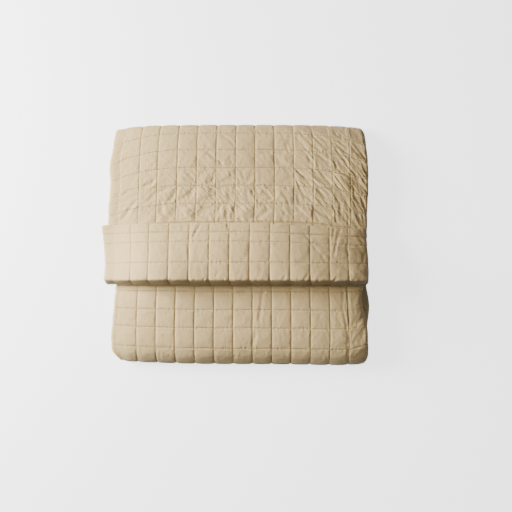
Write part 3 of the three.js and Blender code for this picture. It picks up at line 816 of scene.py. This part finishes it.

# Creases pressed into the cloth: depth and half width in millimetres, then the places along the
# line in pixels of the photo
FLAP_CREASES = [
    (2.6, 4, (295.7, 168.6), (298.5, 172.1), (303, 175.6), (308.4, 177.9),
     (314.1, 181), (318.6, 185.8), (320.2, 188.7)),
    (1.7, 3.5, (315.4, 161.6), (318.6, 165.4), (320.5, 169.6)),
    (3.2, 4, (319.8, 170.5), (323.1, 175), (326.9, 179.1), (331.7, 184.2)),
    (2.6, 4, (296.3, 179.8), (298.8, 185.2), (300.4, 189), (303.3, 193.8),
     (308.4, 197.3), (312.2, 200.2)),
    (2.6, 4, (315.1, 187.7), (318.6, 190), (320.5, 191.9), (323.7, 195.4), (326.3, 196.7)),
    (1.7, 6, (316.1, 195.4), (318.6, 198.9), (322.8, 202.1)),
    (1.7, 5, (297.6, 197), (300.4, 202.1)),
    (1.7, 4, (303.6, 197.3), (305.2, 202.7)),
    (2.6, 4, (302, 150), (307, 155), (312.6, 162.6)),
    (0.9, 4, (315.1, 176.9), (319.9, 180.4), (322.4, 184.2)),
    (0.9, 4, (302, 164.1), (303.9, 170.5), (304.6, 173)),
    (1.7, 4, (333.9, 161.9), (337.7, 166.1)),
    (3.0, 4, (341.8, 156.5), (344.5, 159.5), (347.2, 164.5), (350, 168),
     (355.2, 173.8), (359.4, 182.2), (364.4, 188.7)),
    (0.9, 3.5, (351, 174.2), (354.1, 176.5), (356.4, 178.4)),
    (1.7, 4, (335, 181.8), (338, 186.4), (340.3, 189.9)),
    (2.6, 4, (341.8, 193.3), (344.9, 197.9), (347.6, 202.5), (349.9, 205.6)),
    (2.6, 4, (334.2, 195.2), (337.6, 199.8), (340.3, 203.7)),
    (2.4, 4.5, (340.5, 202), (340.3, 209), (340.3, 214.8), (343, 221.6)),
    (2.6, 4, (352.2, 185.7), (354.5, 189.5), (353.7, 193.3), (355.6, 197.9),
     (358.7, 201.4), (360.6, 205.6)),
    (2.6, 4, (361.4, 197.9), (363.3, 202.5), (365.6, 205.6)),
    (1.8, 4, (358.3, 213.2), (359.4, 217.8), (363.3, 223.9)),
    (1.7, 4, (341.5, 176.1), (344.9, 180.3), (349.5, 184.5)),
    (1.7, 4, (333.4, 207.1), (336.1, 210.9)),
    (2.6, 4, (334.6, 216.3), (337.6, 222.4)),
    (2.6, 4, (343.4, 212.8), (344.9, 218.6), (344.1, 224.3)),
    (1.7, 4, (348, 218.6), (347.6, 224.7)),
    (1.7, 4, (327.3, 217.4), (331.5, 221.3)),
    (1.7, 4, (330.4, 212), (332.3, 216.7)),
    (2.6, 4, (335.2, 148.4), (338.5, 152), (340, 155)),
    (1.7, 4, (340.3, 145.4), (342.7, 149)),
    (2.6, 4, (341.2, 132.5), (341.2, 137.6), (341.5, 143)),
    (1.7, 4, (334.9, 131.3), (338.8, 137.6)),
    (0.9, 4, (332.2, 144.2), (334.3, 146.6)),
    (1.7, 4, (327.7, 153.8), (330.7, 156.8)),
    (0.9, 4, (326.8, 158.6), (330.7, 162.2)),
    (0.9, 4, (333.7, 162.5), (338.5, 167.9)),
    (1.7, 4, (351.7, 149.6), (354.7, 153.5)),
    (1.7, 4, (352.3, 153.5), (353.5, 158.6)),
    (2.6, 4, (361.9, 153.2), (364.9, 158.3)),
    (2.6, 4, (362.5, 177.6), (366, 183.4)),
    (1.7, 4, (297.5, 128.3), (305.9, 138.5), (311.4, 142.7)),
    (0.9, 4, (302.2, 145), (311.4, 153.3)),
    (0.9, 4, (313.3, 145), (319.7, 150.5)),
    (0.9, 4, (321.6, 136.7), (328.1, 143.1)),
    (1.7, 4, (312, 134), (316, 139.5)),
    (1.7, 4, (257.8, 130.2), (262.8, 136.7)),
    (1.7, 3.5, (280, 131.1), (282.7, 135.7), (285.5, 143.1), (289.2, 154.2)),
    (0.9, 3.5, (284.6, 135.7), (291.1, 145.9)),
    (0.9, 4, (265.2, 150.5), (273.5, 155.2)),
    (0.9, 4, (257.8, 145.4), (262.4, 147.8)),
    (1.7, 4, (222.3, 136.1), (229.5, 138.8), (234.8, 146.8)),
    (1.7, 6, (205.4, 150.4), (215.2, 158.4)),
    (0.9, 8, (219, 159), (224, 166)),
    (1.7, 4, (241.4, 172.2), (244.2, 177.6), (244.2, 183.3)),
    (1.7, 4, (246.3, 186.1), (247.1, 193.9), (247.9, 200.8)),
    (1.7, 4, (236.9, 185.3), (242.2, 187.8)),
    (2.6, 4.5, (260.2, 186.5), (263.8, 190.2), (268.3, 194.7), (271.6, 198)),
    (1.7, 4, (285.5, 186.5), (287.9, 190.2)),
    (1.7, 4.5, (281, 191.4), (284.7, 196.7), (288.7, 202.4), (287.9, 205.7)),
    (1.7, 4, (237.3, 203.3), (240.6, 207.3), (244.7, 213.1)),
    (1.7, 4, (258.1, 198.4), (258.1, 204.9)),
    (1.7, 4.5, (265.1, 203.7), (266.7, 207.3), (268.7, 211)),
    (1.7, 4, (275.7, 202.4), (278.9, 205.3)),
    (2.6, 4, (281.4, 208.6), (285.5, 213.1), (285, 216.3)),
    (1.7, 4, (285.9, 210.6), (290.4, 210.2), (297, 211.5), (306, 214)),
    (1.7, 4, (303, 203), (306.5, 209), (309.5, 214.5)),
    (1.7, 4, (250.8, 188.6), (253.2, 193.9)),
    (0.9, 4, (284.2, 169.4), (291.6, 175.5)),
    (1.7, 8, (281, 216), (284, 220)),
    (1.7, 8, (238, 217), (243, 221)),
    (1.7, 4, (180, 198.7), (185, 197), (190, 192), (194, 187.5)),
    (1.7, 4, (188, 200), (190.7, 196.1), (193, 192.2)),
    (1.7, 3.5, (190, 203), (193, 199.5)),
    (2.6, 4, (183.4, 204.9), (188.8, 206.4), (194.9, 208.7)),
    (1.7, 4, (197.6, 208.3), (205.3, 208.7), (211.4, 208.3)),
    (1.7, 4, (200.7, 195.3), (207.6, 195.7), (212.9, 197.6), (216.7, 198.8), (223.6, 199.9)),
    (1.7, 4, (212.5, 187.3), (215.6, 190.3)),
    (1.7, 7, (228, 194), (231.5, 198.5)),
    (0.9, 7, (209, 189), (211.5, 194)),
    (2.6, 4.5, (227.5, 209.5), (226.3, 214.4), (227.5, 220.6)),
    (1.7, 4, (234.3, 206.8), (233.2, 212.9)),
    (1.7, 4, (218.7, 204.9), (220.6, 214.4), (219, 220.2)),
    (0.9, 4, (204.1, 182.7), (204.5, 186.9)),
    (0.9, 4, (219.8, 182.3), (220.2, 185)),
    (1.7, 8, (182, 213.5), (185.5, 216.5)),
    (0.9, 6, (189, 210), (191, 214)),
    (2.6, 7, (141, 187.9), (150, 184.3), (154.5, 178.9)),
    (2.6, 5, (123.2, 194.1), (129.5, 190.5), (139.3, 188.8)),
    (0.9, 5, (115, 205), (127, 200), (135.7, 196)),
    (2.8, 7, (118.8, 220.9), (123.2, 218.2), (128.6, 211), (131.3, 205.7), (137.5, 200.4)),
    (1.7, 8, (160, 206), (163, 213), (167, 219)),
    (0.9, 5, (159, 205), (162.5, 200)),
]
CUFF_CREASES = [
    (5.0, 4, (200.9, 223), (196.4, 230.2), (192.9, 238.2)),
    (0.9, 3.5, (162.5, 224), (158, 230)),
    (1.7, 4, (183, 223), (184, 230)),
    (0.9, 3.5, (178, 224), (174, 230)),
    (3.0, 3.5, (227.7, 223), (227.3, 229)),
    (0.9, 4, (192.9, 263), (192, 276)),
    (0.9, 4, (200, 264), (200.9, 276)),
    (1.7, 4, (219.5, 270), (215.2, 277.5)),
    (0.9, 4, (212.5, 265), (217, 270)),
    (0.9, 4, (187.5, 244), (189, 258)),
    (0.9, 4, (198, 246), (196, 256)),
    (0.9, 4, (255, 228), (247, 231.5)),
    (0.9, 5, (255, 251), (265, 254)),
    (1.7, 3.5, (310.5, 242.8), (326.2, 261.3)),
    (1.7, 3.5, (304, 233.5), (309.6, 239.5)),
    (2.6, 3.5, (334.5, 226), (333.6, 231), (332.7, 240)),
    (3.0, 3.5, (341.2, 226), (338.5, 235), (336.4, 242.8), (333.6, 256.6)),
    (1.7, 4, (347, 243), (346.5, 249), (349.3, 255.7)),
    (1.7, 4, (357, 244), (361, 250)),
    (0.9, 4, (355, 252), (360, 258)),
    (0.9, 3.5, (283.7, 225.2), (280, 231)),
    (0.9, 3.5, (300.3, 226.1), (295.5, 231.5)),
    (0.9, 3.5, (307, 228), (303.5, 232.5)),
    (0.9, 4, (240, 265), (238, 277)),
    (0.9, 4, (262, 266), (259, 277)),
]
ROLL_CREASES = [
    (1.7, 3, (161.6, 277), (160.2, 282)),
    (1.7, 3, (171.4, 277.5), (169.2, 282)),
    (1.7, 3, (196.5, 276.5), (193, 282)),
    (1.7, 3, (205.5, 276.5), (202.5, 282)),
    (1.7, 3, (221.8, 275.7), (224, 282)),
    (1.7, 3, (243, 277), (240.5, 282)),
    (0.9, 3, (266, 277), (263, 282)),
    (2.6, 3, (285.8, 274.6), (281.5, 282)),
    (2.6, 3, (308, 274), (302.8, 282)),
    (1.7, 3, (321, 277), (315.8, 282.5)),
    (2.6, 3, (338.5, 277), (332.2, 282)),
    (2.6, 3, (358, 275.5), (351.8, 282)),
    (2.6, 3, (362, 277.5), (356.5, 283)),
]
FRONT_CREASES = [
    (4.6, 5.5, (265.6, 287), (262.4, 294.8), (261.5, 302.2), (258.7, 323.5)),
    (3.4, 5.5, (256, 329), (255, 336), (252.2, 346.6)),
    (1.7, 4, (249, 350), (246, 361)),
    (3.2, 4, (342.9, 286.5), (343.3, 293), (342.4, 307.8), (344.7, 317),
     (348.4, 335.5), (347.5, 346.6), (348.4, 359.6)),
    (2.6, 4, (347, 287.4), (348.4, 298.5), (349.3, 305.9), (349.3, 326.3)),
    (1.7, 3.5, (313.3, 286.5), (319.7, 290.5)),
    (1.7, 3.5, (321.6, 293), (328.1, 298.5)),
    (1.7, 3.5, (328.1, 286.5), (331.3, 292)),
    (0.9, 4, (317.9, 298.5), (318.8, 307.8), (322.5, 326.3)),
    (1.7, 4, (323.4, 330), (329, 342.9)),
    (0.9, 4, (337, 318), (341, 311)),
    (0.9, 4, (300, 308), (305, 302)),
    (0.9, 4, (296, 330), (299, 343)),
    (0.9, 5, (307, 330), (305, 343)),
    (0.9, 5, (148.2, 344.3), (155.4, 340.7)),
    (0.9, 5, (160, 341), (166, 334)),
    (1.7, 4, (116, 298.8), (118.8, 303.5)),
    (1.7, 4, (117, 313), (119, 318.5)),
    (2.6, 4, (119.3, 347.5), (121.4, 356.8)),
    (1.7, 4, (124.5, 347), (124.5, 354)),
    (1.7, 4, (237, 349), (233.7, 360)),
    (0.9, 4, (242.5, 349), (240, 360)),
    (0.9, 4, (224, 341), (226, 347)),
    (1.7, 4, (353, 330), (351, 337)),
    (1.7, 4, (358, 322), (357, 330)),
    (1.7, 4, (361, 337), (358.5, 343)),
]
CREASES = {4: FLAP_CREASES, 6: CUFF_CREASES, 5: ROLL_CREASES, 0: FRONT_CREASES}
CREASE_REACH = {0: (0.0, 1.5), 4: (3.5, 5.0), 5: (5.45, 7.0), 6: (5.5, 7.0)}
CREASE_SHARE = {0: 0.33, 4: 0.85, 5: 1.0, 6: 0.7}
CREASE_END = 9.0
CREASE_NEAR = 16
CREASE_WIDTH = 0.62
CREASE_TIP = 0.25
CREASE_SHARP = 1.4
CREASE_MOST = 4.5
BANK = 0.35
BANK_PLACE = 2.2


# Where points of the cloth show in the photo, and how many millimetres a pixel spans there
def photo_place(points):
    forward = np.array([0, math.cos(CAMERA_RISE), -math.sin(CAMERA_RISE)])
    upward = np.array([0, math.sin(CAMERA_RISE), math.cos(CAMERA_RISE)])
    eye = METRE * (np.array(CAMERA_TARGET) - forward * CAMERA_REACH)
    away = points - np.array([CENTRE[0], CENTRE[1], 0]) - eye
    pixel = away @ forward / FOCUS
    return FRAME / 2 + np.stack([away[:, 0], -away @ upward], axis=-1) / pixel[:, None], pixel


# Distance to a line of points, and how far along it the nearest place is
def near_line(points, line):
    line = np.array(line, float)
    best = np.full(len(points), np.inf)
    along = np.zeros(len(points))
    start = 0.0
    for a, b in zip(line, line[1:]):
        step = b - a
        length = math.hypot(*step)
        share = np.clip((points - a) @ step / length ** 2, 0, 1)
        gap = np.hypot(*(points - a - share[:, None] * step).T)
        nearer = gap < best
        best = np.where(nearer, gap, best)
        along = np.where(nearer, start + share * length, along)
        start += length
    return best, along, start


def crease_relief(points, places):
    relief = np.zeros(len(points))
    faces_out = places[:, 2] > 0
    seen, pixel = photo_place(points)
    for leg, depth, width, *line in ((leg, *row) for leg, rows in CREASES.items() for row in rows):
        first, last = CREASE_REACH[leg]
        box = np.array(line)
        near = faces_out & (places[:, 1] >= first) & (places[:, 1] <= last)
        low, high = box.min(axis=0) - CREASE_NEAR, box.max(axis=0) + CREASE_NEAR
        near &= np.all((seen > low) & (seen < high), axis=1)
        found = np.nonzero(near)[0]
        gap, along, length = (size * pixel[found] for size in near_line(seen[found], line))
        width = width * CREASE_WIDTH
        depth = depth * CREASE_SHARE[leg]
        end = np.minimum(CREASE_END, length / 3)
        taper = mix(CREASE_TIP, 1, ease(along / end) * ease((length - along) / end))
        bank = BANK * bell((gap - BANK_PLACE * width) / width)
        relief[found] += depth * taper * (bank - np.exp(-(gap / width) ** CREASE_SHARP))
    return np.maximum(relief, -CREASE_MOST)


sheet = build_sheet()
points = settle_padding(sheet)
places = np.array(sheet.places)
column_gap, row_gap, swell, shaded = np.array(sheet.gaps).T
points += np.array(sheet.outward) * (crease_relief(np.array(sheet.points), places) * swell)[:, None]
points = (points - np.array([CENTRE[0], CENTRE[1], 0])) * MILLIMETRE
points[:, 2] = np.maximum(points[:, 2], 0)
mesh = bpy.data.meshes.new("quilted_bedspread")
mesh.from_pydata(points.tolist(), [], sheet.faces)
mesh.validate(verbose=False)
bedspread = bpy.data.objects.new("bedspread", mesh)
bpy.context.collection.objects.link(bedspread)
mesh.polygons.foreach_set("use_smooth", np.ones(len(mesh.polygons), bool))
corners = np.empty(len(mesh.loops), np.int32)
mesh.loops.foreach_get("vertex_index", corners)
flat_places = np.array(sheet.flat)[corners] * MILLIMETRE
mesh.uv_layers.new(name="cloth").data.foreach_set("uv", flat_places.ravel())
loose = slack_at(np.array(sheet.points), places[:, 1]) * swell
spread_values = dict(column_gap=column_gap, row_gap=row_gap, fold_shade=shaded, loose=loose)
for name, values in spread_values.items():
    mesh.attributes.new(name, "FLOAT", "POINT").data.foreach_set("value", values.astype(np.float32))

# Stitches along every seam that can be seen: short threads lying in the grooves
STITCH_PITCH = 3.9
STITCH_LENGTH = 3.0
STITCH_HALF = 0.36
STITCH_SINK = 0.25
STITCH_RISE = 0.55
STITCH_RINGS = [(0.0, 0.0), (0.22, 1.0), (0.78, 1.0), (1.0, 0.0)]


def seam_lines():
    columns = [(x - LEFT_X) / (RIGHT_X - LEFT_X) for x in SEAMS_X]
    hidden = leg_share(4, OPEN_UNDER_CUFF)
    for share in columns:
        yield sheet.edge("across", place_number(2 + share), 0, place_number(4 + hidden), 1)
        yield sheet.edge("across", place_number(5 - share), place_number(5), place_number(7), 1)
    for leg in range(7):
        for share in seam_shares(leg):
            if leg == 4 and share > hidden:
                continue
            first, last = (3, 6) if leg > 4 else (1, 4)
            yield sheet.edge("along", place_number(leg + share), place_number(first), place_number(last), 1)


def stitch_mesh(name, surface):
    normals = np.empty(len(surface.vertices) * 3, np.float32)
    surface.vertex_normals.foreach_get("vector", normals)
    normals = normals.reshape(-1, 3).astype(float)
    starts, ends, ups = [], [], []
    for line in seam_lines():
        way = points[line] * METRE
        run = np.concatenate([[0], np.cumsum(np.linalg.norm(np.diff(way, axis=0), axis=1))])
        begin = np.arange(STITCH_PITCH / 2, run[-1] - STITCH_LENGTH, STITCH_PITCH)
        for target, places_on in ((starts, begin), (ends, begin + STITCH_LENGTH)):
            target.append(np.stack([np.interp(places_on, run, way[:, axis]) for axis in range(3)], axis=-1))
        middle = begin + STITCH_LENGTH / 2
        ups.append(np.stack([np.interp(middle, run, normals[line, axis]) for axis in range(3)], axis=-1))
    start, end, up = (np.concatenate(group) for group in (starts, ends, ups))
    lead = (end - start) / np.maximum(NO_LENGTH, np.linalg.norm(end - start, axis=1, keepdims=True))
    side = np.cross(up, lead)
    side /= np.maximum(NO_LENGTH, np.linalg.norm(side, axis=1, keepdims=True))
    up = np.cross(lead, side)
    rings = []
    for share, full in STITCH_RINGS:
        centre = mix(start, end, share) + up * (STITCH_HALF * STITCH_RISE * full - STITCH_SINK * (1 - full))
        if full == 0:
            rings.append(centre[:, None])
        else:
            around = [side, up, -side, -up]
            rings.append(np.stack([centre + STITCH_HALF * way for way in around], axis=1))
    vertices = np.concatenate(rings, axis=1)
    vertices[:, :, 2] -= np.minimum(vertices[:, :, 2].min(axis=1), 0)[:, None]
    faces = []
    for k in range(4):
        n = (k + 1) % 4
        faces += [(0, 1 + n, 1 + k), (1 + k, 1 + n, 5 + n, 5 + k), (9, 5 + k, 5 + n)]
    count = vertices.shape[1]
    offsets = np.arange(len(vertices)) * count
    every = [tuple(offset + i for i in face) for offset in offsets.tolist() for face in faces]
    made = bpy.data.meshes.new(name)
    made.from_pydata((vertices.reshape(-1, 3) * MILLIMETRE).tolist(), [], every)
    made.polygons.foreach_set("use_smooth", np.ones(len(made.polygons), bool))
    along = np.concatenate([[share] * (4 if full else 1) for share, full in STITCH_RINGS])
    turn = np.array([0.0] + [0.0, 0.25, 0.5, 0.75] * 2 + [0.0])
    thread_place = np.stack([along, turn], axis=-1)
    used = np.empty(len(made.loops), np.int32)
    made.loops.foreach_get("vertex_index", used)
    made.uv_layers.new(name="thread").data.foreach_set("uv", thread_place[used % count].ravel())
    return made


stitches = bpy.data.objects.new("stitches", stitch_mesh("stitches", mesh))
bpy.context.collection.objects.link(stitches)

for piece in (bedspread, stitches):
    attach(piece, "root")
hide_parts("quilted_bedspread")


class Shade:
    """A shader socket that takes part in Python expressions."""

    def __init__(self, tree, socket):
        self.tree = tree
        self.socket = socket

    def math(self, operation, other, swapped=False):
        values = (other, self) if swapped else (self, other)
        return node(self.tree, "ShaderNodeMath", {"operation": operation}, {0: values[0], 1: values[1]})

    def __add__(self, other):
        return self.math("ADD", other)

    def __sub__(self, other):
        return self.math("SUBTRACT", other)

    def __rsub__(self, other):
        return self.math("SUBTRACT", other, True)

    def __mul__(self, other):
        return self.math("MULTIPLY", other)

    def alone(self, operation):
        return node(self.tree, "ShaderNodeMath", {"operation": operation}, {0: self})

    __radd__ = __add__
    __rmul__ = __mul__


def node(tree, kind, settings=None, inputs=None, output=0):
    made = tree.nodes.new(kind)
    for name, value in (settings or {}).items():
        setattr(made, name, value)
    for name, value in (inputs or {}).items():
        if isinstance(value, Shade):
            tree.links.new(value.socket, made.inputs[name])
        else:
            made.inputs[name].default_value = value
    return Shade(tree, made.outputs[output])


COTTON_DARK = (0.42, 0.338, 0.208, 1)
COTTON_PALE = (0.484, 0.406, 0.266, 1)
# Painted shade along the stitch grooves
PAINTED_GROOVE_SHADE = (0.27, 0.205, 0.114, 1)
# Painted shade in the deep folds
FOLD_SHADE = (0.2, 0.17, 0.125, 1)
THREAD = (0.465, 0.39, 0.26, 1)
WEAVE_PITCH = 0.0011
MOTTLE = dict(scale=16.0, detail=5.0)
CRINKLE = dict(scale=85.0, detail=4.0)
RUMPLE = dict(scale=42.0, detail=2.0)
YARN_FINE = 900
YARN_LONG = 45
# Reach and strength of the painted shade along the stitch grooves, on columns and rows
GROOVE_SHADE_REACH = (0.3, 2.0)
COLUMN_GROOVE_SHADE = 0.25
ROW_GROOVE_SHADE = 0.7
# Strength of the painted shade in the deep folds
FOLD_SHADE_MIX = 0.78
PUCKER_FINE = 200
PUCKER_LONG = 50
PUCKER_REACH = (1.0, 10.0)
ROW_PUCKER = 1.6
CRUMPLE_TURN = -0.8
CRUMPLE_RATES = (26, 88, 1)
# Shares of the cotton's tone, and the heights of its bump in millimetres
TONE = dict(yarn=0.35, mottle=0.5, weave=0.05, less=0.1)
BUMP = dict(weave=0.03, yarn=0.04, crinkle=1.3, pucker=1.1, rumple=1.6, crumple=5.0)


def blend(tree, factor, low, high):
    return node(tree, "ShaderNodeMix", {"data_type": "RGBA"}, {0: factor, 6: low, 7: high}, 2)


def spread_noise(tree, where, scale, stretch=(1, 1, 1), detail=3.0):
    mapped = node(tree, "ShaderNodeMapping", {}, {"Vector": where, "Scale": stretch})
    return node(tree, "ShaderNodeTexNoise", {}, {"Vector": mapped, "Scale": scale, "Detail": detail})


def fall(tree, value, start, end):
    return node(tree, "ShaderNodeMapRange", {"interpolation_type": "SMOOTHSTEP"},
                {0: value, 1: start, 2: end, 3: 1.0, 4: 0.0})


def attribute(tree, name):
    return node(tree, "ShaderNodeAttribute", {"attribute_name": name}, {}, 2)


def new_material(name):
    material = bpy.data.materials.new(name)
    material.use_nodes = True
    tree = material.node_tree
    return material, tree, tree.nodes["Principled BSDF"]


# Plain-woven cotton: threads both ways, uneven yarn, faint mottling, and painted shade along the stitch
# grooves
def quilted_cotton():
    material, tree, shader = new_material("quilted_cotton")
    cloth_place = node(tree, "ShaderNodeUVMap", {"uv_map": "cloth"})
    across = node(tree, "ShaderNodeSeparateXYZ", {}, {0: cloth_place}, 0)
    along = node(tree, "ShaderNodeSeparateXYZ", {}, {0: cloth_place}, 1)
    turns = 2 * math.pi / WEAVE_PITCH
    weave = (across * turns).alone("SINE") * (along * turns).alone("SINE")
    yarn = spread_noise(tree, cloth_place, 1.0, (YARN_FINE, YARN_LONG, 1))
    yarn = yarn + spread_noise(tree, cloth_place, 1.0, (YARN_LONG, YARN_FINE, 1))
    mottle = spread_noise(tree, cloth_place, **MOTTLE)
    crinkle = spread_noise(tree, cloth_place, **CRINKLE)
    column_gap = attribute(tree, "column_gap")
    row_gap = attribute(tree, "row_gap")
    # Painted shade: the colour darkens close to the stitch lines, where the grooves lie in shade
    painted_groove_shade = fall(tree, column_gap, *GROOVE_SHADE_REACH) * COLUMN_GROOVE_SHADE
    painted_groove_shade = painted_groove_shade + fall(tree, row_gap, *GROOVE_SHADE_REACH) * ROW_GROOVE_SHADE
    shade = yarn * TONE["yarn"] + mottle * TONE["mottle"] + weave * TONE["weave"] - TONE["less"]
    colour = blend(tree, shade, COTTON_DARK, COTTON_PALE)
    colour = blend(tree, painted_groove_shade, colour, PAINTED_GROOVE_SHADE)
    # Painted shade: the colour darkens in the deep folds
    colour = blend(tree, attribute(tree, "fold_shade") * FOLD_SHADE_MIX, colour, FOLD_SHADE)
    across_seam = spread_noise(tree, cloth_place, 1.0, (PUCKER_LONG, PUCKER_FINE, 1)) - 0.5
    along_seam = spread_noise(tree, cloth_place, 1.0, (PUCKER_FINE, PUCKER_LONG, 1)) - 0.5
    pucker = across_seam * fall(tree, column_gap, *PUCKER_REACH)
    pucker = pucker + along_seam * fall(tree, row_gap, *PUCKER_REACH) * ROW_PUCKER
    rumple = spread_noise(tree, cloth_place, **RUMPLE)
    slanted = node(tree, "ShaderNodeMapping", {}, {"Vector": cloth_place, "Rotation": (0, 0, CRUMPLE_TURN)})
    crumple = (spread_noise(tree, slanted, 1.0, CRUMPLE_RATES, 2.0) - 0.5).alone("ABSOLUTE")
    crumple = crumple * attribute(tree, "loose")
    relief = weave * BUMP["weave"] + yarn * BUMP["yarn"] + crinkle * BUMP["crinkle"]
    relief = relief + pucker * BUMP["pucker"] + rumple * BUMP["rumple"] + crumple * BUMP["crumple"]
    bump = node(tree, "ShaderNodeBump", {}, {"Height": relief, "Distance": 0.001, "Strength": 1.0})
    tree.links.new(colour.socket, shader.inputs["Base Color"])
    tree.links.new(bump.socket, shader.inputs["Normal"])
    tree.links.new((mottle * 0.12 + 0.78).socket, shader.inputs["Roughness"])
    shader.inputs["Sheen Weight"].default_value = 0.1
    shader.inputs["Sheen Roughness"].default_value = 0.5
    shader.inputs["Sheen Tint"].default_value = (1, 0.93, 0.8, 1)
    return material


THREAD_TURNS = 6
THREAD_TWIST = 0.25
THREAD_DYE = 0.6
DYE_SCALE = 30.0


# Twisted cotton thread of the same colour
def cotton_thread():
    material, tree, shader = new_material("cotton_thread")
    place = node(tree, "ShaderNodeUVMap", {"uv_map": "thread"})
    along = node(tree, "ShaderNodeSeparateXYZ", {}, {0: place}, 0)
    around = node(tree, "ShaderNodeSeparateXYZ", {}, {0: place}, 1)
    twist = ((along * THREAD_TURNS + around) * (2 * math.pi)).alone("SINE")
    position = node(tree, "ShaderNodeTexCoord", {}, {}, 3)
    uneven_dye = spread_noise(tree, position, DYE_SCALE)
    colour = blend(tree, twist * THREAD_TWIST + uneven_dye * THREAD_DYE, COTTON_DARK, THREAD)
    bump = node(tree, "ShaderNodeBump", {}, {"Height": twist, "Distance": 0.0001, "Strength": 0.6})
    tree.links.new(colour.socket, shader.inputs["Base Color"])
    tree.links.new(bump.socket, shader.inputs["Normal"])
    shader.inputs["Roughness"].default_value = 0.7
    return material


def paint(piece, values):
    material, _, shader = new_material(piece.name)
    for name, value in values.items():
        shader.inputs[name].default_value = value
    piece.data.materials.append(material)


mesh.materials.append(quilted_cotton())
stitches.data.materials.append(cotton_thread())

FLOOR_COLOUR = (0.596, 0.693, 0.962, 1)
FLOOR_GLOW = 2.4
BACKDROP_GLOW = 2.7
WHITE = (1, 1, 1, 1)
BLACK = (0, 0, 0, 1)
bpy.ops.object.select_all(action="DESELECT")
bpy.ops.mesh.primitive_plane_add(size=26, location=(0, 0, -0.0005))
floor = bpy.context.object
floor.name = "pale_floor"
paint(floor, {"Base Color": FLOOR_COLOUR, "Roughness": 0.9,
              "Emission Color": WHITE, "Emission Strength": FLOOR_GLOW})
floor.visible_diffuse = False

# A pale backdrop all round that only the camera sees
bpy.ops.mesh.primitive_uv_sphere_add(segments=48, ring_count=24, radius=14, location=(0, 0, 0))
backdrop = bpy.context.object
backdrop.name = "pale_backdrop"
paint(backdrop, {"Base Color": BLACK, "Specular IOR Level": 0,
                 "Emission Color": WHITE, "Emission Strength": BACKDROP_GLOW})
backdrop.visible_diffuse = backdrop.visible_glossy = backdrop.visible_shadow = False

# Camera nearly overhead, as the photo was taken
camera_data = bpy.data.cameras.new("camera")
camera_data.lens = FOCUS * SENSOR / FRAME
camera_data.sensor_width = SENSOR
camera = bpy.data.objects.new("camera", camera_data)
bpy.context.collection.objects.link(camera)
away = Vector((0, -math.cos(CAMERA_RISE), math.sin(CAMERA_RISE)))
camera.location = CAMERA_TARGET + away * CAMERA_REACH
camera.rotation_euler = (math.radians(90) - CAMERA_RISE, 0, 0)
bpy.context.scene.camera = camera


def soft_box(name, place, aim, size, power):
    data = bpy.data.lights.new(name, "AREA")
    data.shape = "RECTANGLE"
    data.size, data.size_y = size
    data.energy = power
    data.color = WARM
    lamp = bpy.data.objects.new(name, data)
    bpy.context.collection.objects.link(lamp)
    lamp.location = place
    lamp.rotation_euler = (Vector(aim) - Vector(place)).to_track_quat("-Z", "Y").to_euler()
    return lamp


KEY_RISE = math.radians(21)
KEY_TURN = math.radians(12)
KEY_REACH = 2.2
KEY_LEVEL = math.cos(KEY_RISE)
KEY_AWAY = Vector((-KEY_LEVEL * math.cos(KEY_TURN), KEY_LEVEL * math.sin(KEY_TURN), math.sin(KEY_RISE)))
WARM = (1.0, 0.86, 0.62)
soft_box("key_light", place=KEY_AWAY * KEY_REACH, aim=(0, 0, 0.05), size=(1.2, 0.8), power=287)
soft_box("top_light", place=(0.0, 0.0, 2.4), aim=(0, 0, 0), size=(2.0, 2.0), power=18.7)
world = bpy.data.worlds.new("studio")
world.use_nodes = True
world.node_tree.nodes["Background"].inputs["Color"].default_value = (*WARM, 1)
world.node_tree.nodes["Background"].inputs["Strength"].default_value = 0.06
bpy.context.scene.world = world
